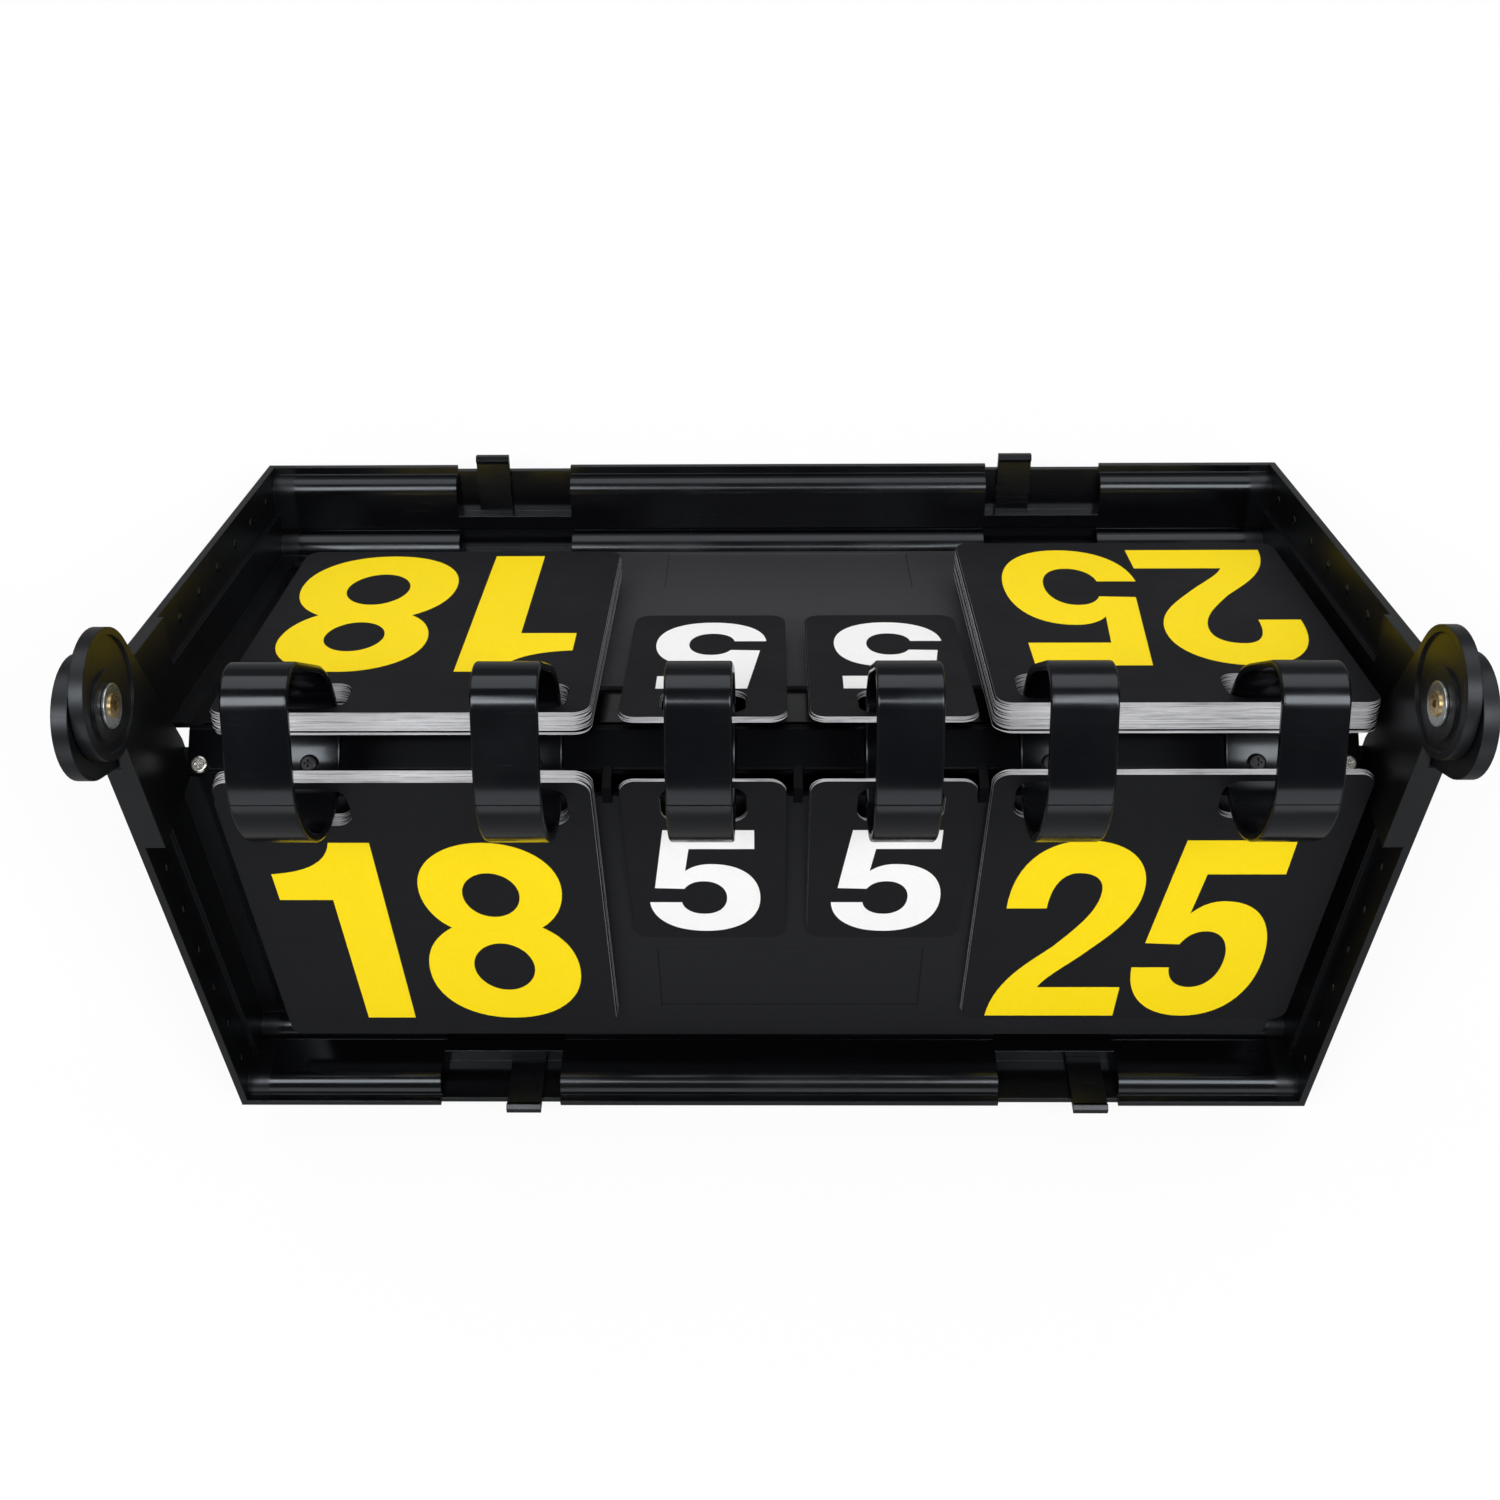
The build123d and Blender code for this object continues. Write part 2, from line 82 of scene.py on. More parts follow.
def colour_mix(tree, first=None, second=None):
    """A colour mix, with its two colours fixed where they are given."""
    mix = tree.nodes.new("ShaderNodeMix")
    mix.data_type = "RGBA"
    if first is not None:
        mix.inputs["A"].default_value = (*first, 1)
    if second is not None:
        mix.inputs["B"].default_value = (*second, 1)
    return mix


def wire(tree, *links):
    """Joins pairs of sockets in a node tree."""
    for start, end in links:
        tree.links.new(start, end)


# The frame: lengths are in metres, and the ridge and the rings' centre come from the joints.
MM = 0.001
nodes = frame["nodes"]
joint_place = {joint["name"]: Vector(joint["pos_m"]) for joint in frame["joints"]}
ridge = joint_place["case_hinge"]
ring_centre = joint_place["score_left_flip"]


# The camera: almost straight above the ridge and a little to the front, as the photograph was
# taken. It looks steeply down, turned and tilted by a fraction of a degree.
camera_from_ridge = Vector((-1.0, -76.3, 451.3)) * MM
camera_pitch = radians(81.99)
camera_yaw = radians(0.64)
camera_roll = radians(0.07)
camera_lens = 39.2
sensor_width = 36.0

level_forward = Vector((0, cos(camera_pitch), -sin(camera_pitch)))
level_down = Vector((0, -sin(camera_pitch), -cos(camera_pitch)))
level_right = Vector((1, 0, 0))
turned_right = level_right * cos(camera_yaw) + level_forward * sin(camera_yaw)
forward = level_forward * cos(camera_yaw) - level_right * sin(camera_yaw)
image_right = turned_right * cos(camera_roll) + level_down * sin(camera_roll)
image_down = level_down * cos(camera_roll) - turned_right * sin(camera_roll)

camera_data = bpy.data.cameras.new("camera")
camera_data.sensor_width = sensor_width
camera_data.lens = camera_lens
camera = bpy.data.objects.new("camera", camera_data)
camera.matrix_world = Matrix.Translation(ridge + camera_from_ridge) @ Matrix(
    (image_right, -image_down, -forward)
).transposed().to_4x4()
bpy.context.scene.collection.objects.link(camera)
bpy.context.scene.camera = camera
bpy.context.scene.view_settings.view_transform = "Standard"


# The lamps: a softbox high up at each side, a thin one between them, and a wide one behind and in
# front. The side ones give the bright bands on the outer rings.
lamp_aim = Vector((0.0, 0.0, 0.12))
side_lamp_x = 0.56


def softbox(name, place, width, height, power):
    """A rectangular lamp at a place, turned to shine at the board."""
    lamp = bpy.data.lights.new(name, "AREA")
    lamp.shape = "RECTANGLE"
    lamp.size = width
    lamp.size_y = height
    lamp.energy = power
    lamp_object = bpy.data.objects.new(name, lamp)
    lamp_object.location = place
    lamp_object.rotation_mode = "QUATERNION"
    lamp_object.rotation_quaternion = (lamp_aim - Vector(place)).to_track_quat("-Z", "Y")
    bpy.context.scene.collection.objects.link(lamp_object)


for name, side in (("lamp_left", -1), ("lamp_right", 1)):
    softbox(name, (side * side_lamp_x, -0.17, 1.30), width=0.44, height=0.72, power=7.4)
softbox("lamp_above", (0.0, -0.20, 1.35), width=0.60, height=0.10, power=1.0)
softbox("lamp_behind", (0.0, 1.05, 1.10), width=2.2, height=1.00, power=11.5)
softbox("lamp_in_front", (0.0, -1.35, 0.55), width=2.4, height=0.80, power=6.5)


# The surround: grey walls round the studio, fading to a darker ceiling.
wall_top = radians(26)
ceiling_start = radians(52)
wall_light = 0.22
ceiling_light = 0.12
sky_colour = (0.98, 0.99, 1.0)
world = bpy.data.worlds.new("surround")
world.use_nodes = True
bpy.context.scene.world = world
sky = world.node_tree.nodes
sky.clear()
sky_where = sky.new("ShaderNodeTexCoord")
sky_axes = sky.new("ShaderNodeSeparateXYZ")
sky_level = map_node(world.node_tree, sin(wall_top), sin(ceiling_start), wall_light, ceiling_light)
sky_level.interpolation_type = "SMOOTHSTEP"
sky_light = sky.new("ShaderNodeBackground")
sky_light.inputs["Color"].default_value = (*sky_colour, 1)
sky_out = sky.new("ShaderNodeOutputWorld")
wire(
    world.node_tree,
    (sky_where.outputs["Generated"], sky_axes.inputs["Vector"]),
    (sky_axes.outputs["Z"], sky_level.inputs["Value"]),
    (sky_level.outputs["Result"], sky_light.inputs["Strength"]),
    (sky_light.outputs["Background"], sky_out.inputs["Surface"]),
)


# The floor: plain white paint. Seen directly it is mostly a plain glow, so that it stays evenly
# white with a faint shadow. In reflections the glow is weaker, as if the room were darker.
floor_colour = (0.9, 0.9, 0.9)
floor_glow_share = 0.86
glow_in_reflections = 0.2
floor_half = 6.0
floor_drop = 0.4 * MM
floor_paint = bpy.data.materials.new("floor_paint")
floor_paint.use_nodes = True
paint = floor_paint.node_tree.nodes
paint.clear()
paint_path = paint.new("ShaderNodeLightPath")
paint_seen = math_node(floor_paint.node_tree, "MAXIMUM")
paint_seen_too = math_node(floor_paint.node_tree, "MAXIMUM")
paint_share = map_node(floor_paint.node_tree, 0.0, 1.0, 0.0, floor_glow_share)
paint_diffuse = paint.new("ShaderNodeBsdfDiffuse")
paint_diffuse.inputs["Color"].default_value = (*floor_colour, 1)
paint_glow = paint.new("ShaderNodeEmission")
paint_in_gloss = map_node(floor_paint.node_tree, 0.0, 1.0, 1.0, glow_in_reflections)
paint_mix = paint.new("ShaderNodeMixShader")
paint_out = paint.new("ShaderNodeOutputMaterial")
wire(
    floor_paint.node_tree,
    (paint_path.outputs["Is Camera Ray"], paint_seen.inputs[0]),
    (paint_path.outputs["Is Glossy Ray"], paint_seen.inputs[1]),
    (paint_seen.outputs[0], paint_seen_too.inputs[0]),
    (paint_path.outputs["Is Transmission Ray"], paint_seen_too.inputs[1]),
    (paint_seen_too.outputs[0], paint_share.inputs["Value"]),
    (paint_share.outputs["Result"], paint_mix.inputs["Fac"]),
    (paint_path.outputs["Is Glossy Ray"], paint_in_gloss.inputs["Value"]),
    (paint_in_gloss.outputs["Result"], paint_glow.inputs["Strength"]),
    (paint_diffuse.outputs["BSDF"], paint_mix.inputs[1]),
    (paint_glow.outputs["Emission"], paint_mix.inputs[2]),
    (paint_mix.outputs["Shader"], paint_out.inputs["Surface"]),
)
floor_mesh = bpy.data.meshes.new("studio_floor")
floor_corners = [(-1, -1), (1, -1), (1, 1), (-1, 1)]
floor_mesh.from_pydata(
    [(x * floor_half, y * floor_half, -floor_drop) for x, y in floor_corners], [], [(0, 1, 2, 3)],
)
floor_mesh.materials.append(floor_paint)
studio_floor = bpy.data.objects.new("studio_floor", floor_mesh)
bpy.context.scene.collection.objects.link(studio_floor)


# The case: two halves injection moulded in glossy black plastic. The gloss has a faint orange
# peel, fine handling scratches and a little dust, and the moulded edges are slightly rounded,
# which the shader adds.
dust_colour = (0.35, 0.35, 0.36)
gloss_tint = (0.86, 0.93, 1.0)
relief_strength = 0.6
edge_samples = 4
scratch_stretch = (40.0, 900.0, 700.0)
scratch_turn = (0.2, 0.35, 0.5)
scratch_roughness = 0.2
scratch_relief = -0.4
handling, handling_in, handling_out = new_group(
    "handling_marks",
    [("Scratches", 0.5), ("Dust", 0.3), ("Peel", 0.3)],
    [("Roughness Add", "NodeSocketFloat"), ("Dust Mask", "NodeSocketFloat"), ("Height", "NodeSocketFloat")],
)
where = handling.nodes.new("ShaderNodeTexCoord")
stretch = handling.nodes.new("ShaderNodeMapping")
stretch.inputs["Scale"].default_value = scratch_stretch
stretch.inputs["Rotation"].default_value = scratch_turn
scratch_noise = noise_node(handling, scale=1.0, detail=3.0, rough=0.6)
scratch_line = map_node(handling, 0.62, 0.72, 0.0, 1.0)
smudge_noise = noise_node(handling, scale=28.0, detail=4.0, rough=0.55)
smudge = map_node(handling, 0.35, 0.75, 0.0, 0.14)
dust_noise = noise_node(handling, scale=1600.0, detail=2.0, rough=0.6)
dust_spot = map_node(handling, 0.70, 0.78, 0.0, 1.0)
dust_patch_noise = noise_node(handling, scale=45.0, detail=2.0)
dust_patch = map_node(handling, 0.45, 0.7, 0.0, 1.0)
peel_noise = noise_node(handling, scale=420.0, detail=2.0, rough=0.5)
scratch_amount = math_node(handling, "MULTIPLY")
scratch_rough = math_node(handling, "MULTIPLY", scratch_roughness)
rough_sum = math_node(handling, "ADD")
dust_some = math_node(handling, "MULTIPLY")
dust_amount = math_node(handling, "MULTIPLY")
peel_amount = math_node(handling, "MULTIPLY")
scratch_depth = math_node(handling, "MULTIPLY_ADD", scratch_relief)
wire(
    handling,
    (where.outputs["Object"], stretch.inputs["Vector"]),
    (stretch.outputs["Vector"], scratch_noise.inputs["Vector"]),
    (scratch_noise.outputs["Fac"], scratch_line.inputs["Value"]),
    (scratch_line.outputs["Result"], scratch_amount.inputs[0]),
    (handling_in.outputs["Scratches"], scratch_amount.inputs[1]),
    (scratch_amount.outputs[0], scratch_rough.inputs[0]),
    (where.outputs["Object"], smudge_noise.inputs["Vector"]),
    (smudge_noise.outputs["Fac"], smudge.inputs["Value"]),
    (smudge.outputs["Result"], rough_sum.inputs[0]),
    (scratch_rough.outputs[0], rough_sum.inputs[1]),
    (rough_sum.outputs[0], handling_out.inputs["Roughness Add"]),
    (where.outputs["Object"], dust_noise.inputs["Vector"]),
    (where.outputs["Object"], dust_patch_noise.inputs["Vector"]),
    (dust_noise.outputs["Fac"], dust_spot.inputs["Value"]),
    (dust_patch_noise.outputs["Fac"], dust_patch.inputs["Value"]),
    (dust_spot.outputs["Result"], dust_some.inputs[0]),
    (dust_patch.outputs["Result"], dust_some.inputs[1]),
    (dust_some.outputs[0], dust_amount.inputs[0]),
    (handling_in.outputs["Dust"], dust_amount.inputs[1]),
    (dust_amount.outputs[0], handling_out.inputs["Dust Mask"]),
    (where.outputs["Object"], peel_noise.inputs["Vector"]),
    (peel_noise.outputs["Fac"], peel_amount.inputs[0]),
    (handling_in.outputs["Peel"], peel_amount.inputs[1]),
    (scratch_amount.outputs[0], scratch_depth.inputs[0]),
    (peel_amount.outputs[0], scratch_depth.inputs[2]),
    (scratch_depth.outputs[0], handling_out.inputs["Height"]),
)


def plastic(name, colour, roughness, specular, scratches, dust, peel, edge_round, bump=0.03 * MM):
    """A moulded plastic: plain colour under handling marks, with softened edges."""
    material = bpy.data.materials.new(name)
    material.use_nodes = True
    tree = material.node_tree
    shader = tree.nodes["Principled BSDF"]
    marks = tree.nodes.new("ShaderNodeGroup")
    marks.node_tree = handling
    marks.inputs["Scratches"].default_value = scratches
    marks.inputs["Dust"].default_value = dust
    marks.inputs["Peel"].default_value = peel
    tint = colour_mix(tree, colour, dust_colour)
    shine = math_node(tree, "ADD", roughness)
    relief = tree.nodes.new("ShaderNodeBump")
    relief.inputs["Distance"].default_value = bump
    relief.inputs["Strength"].default_value = relief_strength
    shader.inputs["Specular IOR Level"].default_value = specular
    shader.inputs["Specular Tint"].default_value = (*gloss_tint, 1)
    wire(
        tree,
        (marks.outputs["Dust Mask"], tint.inputs["Factor"]),
        (tint.outputs["Result"], shader.inputs["Base Color"]),
        (marks.outputs["Roughness Add"], shine.inputs[0]),
        (shine.outputs[0], shader.inputs["Roughness"]),
        (marks.outputs["Height"], relief.inputs["Height"]),
        (relief.outputs["Normal"], shader.inputs["Normal"]),
    )
    if edge_round:
        soft_edge = tree.nodes.new("ShaderNodeBevel")
        soft_edge.samples = edge_samples
        soft_edge.inputs["Radius"].default_value = edge_round
        wire(tree, (soft_edge.outputs["Normal"], relief.inputs["Normal"]))
    return material


def dress(names, material):
    """Gives CAD nodes one material."""
    for name in names:
        mesh = nodes[name].data
        mesh.materials.clear()
        mesh.materials.append(material)


case_plastic = plastic(
    "case_plastic", (0.0018, 0.0018, 0.0024), roughness=0.14, specular=0.45,
    scratches=0.4, dust=0.05, peel=0.35, edge_round=0.5 * MM,
)
dress(["front_tray", "rear_tray"], case_plastic)

# Both ends of the case, with its ears and side walls, are duller than the rest.
dull_from = 183.5 * MM
dull_past = 185.5 * MM
end_dullness = 0.18
case_tree = case_plastic.node_tree
case_place = case_tree.nodes.new("ShaderNodeTexCoord")
case_axes = case_tree.nodes.new("ShaderNodeSeparateXYZ")
case_out = math_node(case_tree, "ABSOLUTE")
case_dulled = map_node(case_tree, dull_from, dull_past, 0.0, end_dullness)
case_rough = math_node(case_tree, "ADD")
case_shader = case_tree.nodes["Principled BSDF"]
case_shine = case_shader.inputs["Roughness"].links[0].from_socket
wire(
    case_tree,
    (case_place.outputs["Object"], case_axes.inputs["Vector"]),
    (case_axes.outputs["X"], case_out.inputs[0]),
    (case_out.outputs[0], case_dulled.inputs["Value"]),
    (case_dulled.outputs["Result"], case_rough.inputs[0]),
    (case_shine, case_rough.inputs[1]),
    (case_rough.outputs[0], case_shader.inputs["Roughness"]),
)


# Snap tabs: four springy tongues of the same black plastic, set into slots in the outer walls.
tab_plastic = plastic(
    "tab_plastic", (0.002, 0.002, 0.0026), roughness=0.2, specular=0.45,
    scratches=0.4, dust=0.05, peel=0.4, edge_round=0.4 * MM,
)
dress([name for name in nodes if "snap_tab" in name], tab_plastic)


# Backing panels: flat sheets of satin dark grey plastic with a very fine moulded grain, and a
# shallow recess for a label, left bare. Both are one plastic; the rear sheet is given a lighter
# colour as painted light, standing in for the light and sheen that fall on the rear half.
panel_plastic = plastic(
    "panel_plastic", (0.040, 0.0392, 0.044), roughness=0.44, specular=0.25,
    scratches=0.3, dust=0.04, peel=1.0, edge_round=0.4 * MM, bump=0.06 * MM,
)
dress(["rear_panel"], panel_plastic)
dark_panel_plastic = plastic(
    "dark_panel_plastic", (0.0085, 0.0083, 0.0098), roughness=0.44, specular=0.22,
    scratches=0.3, dust=0.04, peel=1.0, edge_round=0.4 * MM, bump=0.06 * MM,
)
dress(["front_panel"], dark_panel_plastic)


# Rings and their clips: flat hoops of the same glossy black plastic with light scratches, on a
# plainer, duller bar with legs.
ring_plastic = plastic(
    "ring_plastic", (0.0010, 0.0010, 0.0018), roughness=0.12, specular=0.45,
    scratches=0.3, dust=0.02, peel=0.3, edge_round=0.4 * MM,
)
dress([name for name in nodes if name.removeprefix("ring_").isdigit()], ring_plastic)
clip_plastic = plastic(
    "clip_plastic", (0.0016, 0.0016, 0.0022), roughness=0.17, specular=0.45,
    scratches=0.4, dust=0.02, peel=0.4, edge_round=0.4 * MM,
)
dress([name for name in nodes if name.startswith("ring_clip_")], clip_plastic)
bar_plastic = plastic(
    "bar_plastic", (0.0010, 0.0010, 0.0016), roughness=0.25, specular=0.06,
    scratches=0.4, dust=0.05, peel=0.4, edge_round=0.4 * MM,
)
dress(["ring_bar"], bar_plastic)


# Rivets, washers and screws: a tubular brass rivet and a zinc-plated washer at each end of the
# ridge, nickel-plated screws at the ends of the bar and blackened ones in the rings.
tarnish_shade = 0.6
fine_relief = 0.01 * MM


def metal(name, colour, roughness, streak):
    """A plated metal with fine turning marks and slight tarnish."""
    material = bpy.data.materials.new(name)
    material.use_nodes = True
    tree = material.node_tree
    shader = tree.nodes["Principled BSDF"]
    shader.inputs["Metallic"].default_value = 1.0
    place = tree.nodes.new("ShaderNodeTexCoord")
    tarnish_noise = noise_node(tree, scale=500.0, detail=4.0, rough=0.6)
    tarnish = colour_mix(tree, colour, [part * tarnish_shade for part in colour])
    tarnish_amount = map_node(tree, 0.4, 0.75, 0.0, 0.8)
    marks_noise = noise_node(tree, scale=2500.0, detail=2.0, rough=0.5)
    shine = map_node(tree, 0.3, 0.7, roughness - streak, roughness + streak)
    relief = tree.nodes.new("ShaderNodeBump")
    relief.inputs["Distance"].default_value = fine_relief
    wire(
        tree,
        (place.outputs["Object"], tarnish_noise.inputs["Vector"]),
        (tarnish_noise.outputs["Fac"], tarnish_amount.inputs["Value"]),
        (tarnish_amount.outputs["Result"], tarnish.inputs["Factor"]),
        (tarnish.outputs["Result"], shader.inputs["Base Color"]),
        (place.outputs["Object"], marks_noise.inputs["Vector"]),
        (marks_noise.outputs["Fac"], shine.inputs["Value"]),
        (shine.outputs["Result"], shader.inputs["Roughness"]),
        (marks_noise.outputs["Fac"], relief.inputs["Height"]),
        (relief.outputs["Normal"], shader.inputs["Normal"]),
    )
    return material


zinc = metal("zinc_plate", (0.62, 0.64, 0.64), roughness=0.32, streak=0.1)
brass = metal("brass_rivet", (0.80, 0.58, 0.28), roughness=0.3, streak=0.1)
nickel = metal("nickel_plate", (0.72, 0.70, 0.66), roughness=0.25, streak=0.08)
black_oxide = metal("black_oxide", (0.035, 0.034, 0.036), roughness=0.4, streak=0.08)
dress(["hinge_washer_left", "hinge_washer_right"], zinc)
dress(["hinge_rivet_left", "hinge_rivet_right"], brass)
dress(["bar_screws"], nickel)
dress(["ring_screws"], black_oxide)


# Number cards: thin sheets of black plastic with a fine matt grain on both faces. Their die-cut
# edges are pale, so a pile shows its cards as light lines.
def card_face(node):
    """The directions down and out of a node's broad face, and its two levels from the rings' centre."""
    mesh = nodes[node].data
    normal = max(mesh.polygons, key=lambda face: face.area).normal.copy()
    if normal.z < 0:
        normal.negate()
    down = Vector((1, 0, 0)).cross(normal)
    if down.z > 0:
        down.negate()
    levels = [(vertex.co - ring_centre).dot(normal) for vertex in mesh.vertices]
    return down, normal, min(levels), max(levels)


card_groups = ("score_left", "set_left", "set_right", "score_right")
card_pitch = 0.395 * MM
level_margin = 0.02 * MM
card_colour = (0.0060, 0.0058, 0.0072)
card_edge_colour = (0.86, 0.86, 0.89)
card_gap_colour = (0, 0, 0)
streak_stretch = (45.0, 7.3, 1.0)

layers, layers_in, layers_out = new_group(
    "card_layers",
    [("Out X", 0.0), ("Out Y", 0.0), ("Out Z", 1.0), ("Start", 0.0), ("Pitch", card_pitch)],
    [("Edge Mask", "NodeSocketFloat"), ("Layer Shade", "NodeSocketFloat")],
)
layer_place = layers.nodes.new("ShaderNodeTexCoord")
layer_out = layers.nodes.new("ShaderNodeCombineXYZ")
layer_facing = layers.nodes.new("ShaderNodeVectorMath")
layer_facing.operation = "DOT_PRODUCT"
layer_facing_size = math_node(layers, "ABSOLUTE")
layer_edge = map_node(layers, 0.85, 0.6, 0.0, 1.0)
layer_level = layers.nodes.new("ShaderNodeVectorMath")
layer_level.operation = "DOT_PRODUCT"
layer_from_start = math_node(layers, "SUBTRACT")
layer_count = math_node(layers, "DIVIDE")
layer_number = math_node(layers, "FLOOR")
layer_random = layers.nodes.new("ShaderNodeTexWhiteNoise")
layer_random.noise_dimensions = "1D"
layer_shade = map_node(layers, 0.0, 1.0, 0.75, 1.0)
layer_along = layers.nodes.new("ShaderNodeSeparateXYZ")
layer_spot = layers.nodes.new("ShaderNodeCombineXYZ")
layer_stretch = layers.nodes.new("ShaderNodeVectorMath")
layer_stretch.operation = "MULTIPLY"
layer_stretch.inputs[1].default_value = streak_stretch
layer_streak_noise = noise_node(layers, scale=1.0, detail=3.0, rough=0.6)
layer_streak = map_node(layers, 0.32, 0.52, 0.55, 1.0)
layer_total = math_node(layers, "MULTIPLY")
wire(
    layers,
    (layers_in.outputs["Out X"], layer_out.inputs["X"]),
    (layers_in.outputs["Out Y"], layer_out.inputs["Y"]),
    (layers_in.outputs["Out Z"], layer_out.inputs["Z"]),
    (layer_place.outputs["Normal"], layer_facing.inputs[0]),
    (layer_out.outputs["Vector"], layer_facing.inputs[1]),
    (layer_facing.outputs["Value"], layer_facing_size.inputs[0]),
    (layer_facing_size.outputs[0], layer_edge.inputs["Value"]),
    (layer_edge.outputs["Result"], layers_out.inputs["Edge Mask"]),
    (layer_place.outputs["Object"], layer_level.inputs[0]),
    (layer_out.outputs["Vector"], layer_level.inputs[1]),
    (layer_level.outputs["Value"], layer_from_start.inputs[0]),
    (layers_in.outputs["Start"], layer_from_start.inputs[1]),
    (layer_from_start.outputs[0], layer_count.inputs[0]),
    (layers_in.outputs["Pitch"], layer_count.inputs[1]),
    (layer_count.outputs[0], layer_number.inputs[0]),
    (layer_number.outputs[0], layer_random.inputs["W"]),
    (layer_random.outputs["Value"], layer_shade.inputs["Value"]),
    (layer_place.outputs["Object"], layer_along.inputs["Vector"]),
    (layer_along.outputs["X"], layer_spot.inputs["X"]),
    (layer_number.outputs[0], layer_spot.inputs["Y"]),
    (layer_spot.outputs["Vector"], layer_stretch.inputs[0]),
    (layer_stretch.outputs["Vector"], layer_streak_noise.inputs["Vector"]),
    (layer_streak_noise.outputs["Fac"], layer_streak.inputs["Value"]),
    (layer_shade.outputs["Result"], layer_total.inputs[0]),
    (layer_streak.outputs["Result"], layer_total.inputs[1]),
    (layer_total.outputs[0], layers_out.inputs["Layer Shade"]),
)


def card_sheet(node):
    """The black sheet of a node's cards, pale on the edges, with a shade for each card."""
    _, normal, _, high = card_face(node)
    material = plastic(
        node + "_sheet", card_colour, roughness=0.46, specular=0.18,
        scratches=0.3, dust=0.02, peel=1.0, edge_round=0.0, bump=0.04 * MM,
    )
    tree = material.node_tree
    shader = tree.nodes["Principled BSDF"]
    sheets = tree.nodes.new("ShaderNodeGroup")
    sheets.node_tree = layers
    sheets.inputs["Out X"].default_value = normal.x
    sheets.inputs["Out Y"].default_value = normal.y
    sheets.inputs["Out Z"].default_value = normal.z
    sheets.inputs["Start"].default_value = ring_centre.dot(normal) + high + level_margin
    edge_tint = colour_mix(tree, card_gap_colour, card_edge_colour)
    whole = colour_mix(tree)
    face_socket = shader.inputs["Base Color"].links[0].from_socket
    wire(
        tree,
        (sheets.outputs["Layer Shade"], edge_tint.inputs["Factor"]),
        (sheets.outputs["Edge Mask"], whole.inputs["Factor"]),
        (face_socket, whole.inputs["A"]),
        (edge_tint.outputs["Result"], whole.inputs["B"]),
        (whole.outputs["Result"], shader.inputs["Base Color"]),
    )
    return material


for group in card_groups:
    for part in ("_card", "_front_pile", "_rear_pile"):
        dress([group + part], card_sheet(group + part))


# Numbers: bold digits screen printed in yellow on the score cards and in white on the set cards,
# as a film of ink a few hundredths of a millimetre thick. A digit is drawn in a unit box, where a
# single point is the end of a straight line and a list of three is a curve.
digit_one = [[
    (0, 0.838), [(0.35, 0.85), (0.56, 0.90), (0.62, 1)], (1, 1), (1, 0), (0.51, 0), (0.51, 0.70), (0, 0.70),
]]
digit_two = [[
    (0, 0), (1, 0), (1, 0.179), (0.366, 0.179), [(0.42, 0.25), (0.56, 0.31), (0.70, 0.405)],
    [(0.88, 0.52), (1, 0.61), (1, 0.745)], [(1, 0.90), (0.80, 1), (0.52, 1)],
    [(0.22, 1), (0.036, 0.87), (0.036, 0.641)], (0.326, 0.641), [(0.33, 0.77), (0.40, 0.832), (0.51, 0.832)],
    [(0.62, 0.832), (0.70, 0.80), (0.70, 0.73)], [(0.70, 0.62), (0.57, 0.53), (0.425, 0.424)],
    [(0.27, 0.33), (0.03, 0.22), (0, 0)],
]]
digit_five = [[
    (0.163, 1), (0.95, 1), (0.95, 0.825), (0.377, 0.825), (0.335, 0.611),
    [(0.40, 0.66), (0.48, 0.68), (0.57, 0.68)], [(0.84, 0.68), (1, 0.55), (1, 0.345)],
    [(1, 0.13), (0.80, 0), (0.50, 0)], [(0.20, 0), (0.01, 0.12), (0, 0.30)],
    (0.29, 0.30), [(0.30, 0.23), (0.38, 0.18), (0.49, 0.18)], [(0.62, 0.18), (0.70, 0.25), (0.70, 0.35)],
    [(0.70, 0.45), (0.61, 0.512), (0.50, 0.512)], [(0.42, 0.512), (0.36, 0.49), (0.32, 0.437)],
    (0.055, 0.444),
]]
digit_six = [[
    (0.97, 0.74), [(0.94, 0.91), (0.77, 1), (0.54, 1)], [(0.18, 1), (0, 0.80), (0, 0.48)],
    [(0, 0.16), (0.18, 0), (0.52, 0)], [(0.82, 0), (1, 0.14), (1, 0.335)],
    [(1, 0.54), (0.83, 0.66), (0.60, 0.66)], [(0.47, 0.66), (0.37, 0.62), (0.30, 0.55)],
    [(0.30, 0.73), (0.39, 0.835), (0.54, 0.835)], [(0.62, 0.835), (0.67, 0.80), (0.69, 0.74)],
], [
    (0.31, 0.335), [(0.31, 0.43), (0.40, 0.50), (0.51, 0.50)], [(0.62, 0.50), (0.71, 0.43), (0.71, 0.335)],
    [(0.71, 0.24), (0.62, 0.165), (0.51, 0.165)], [(0.40, 0.165), (0.31, 0.24), (0.31, 0.335)],
]]
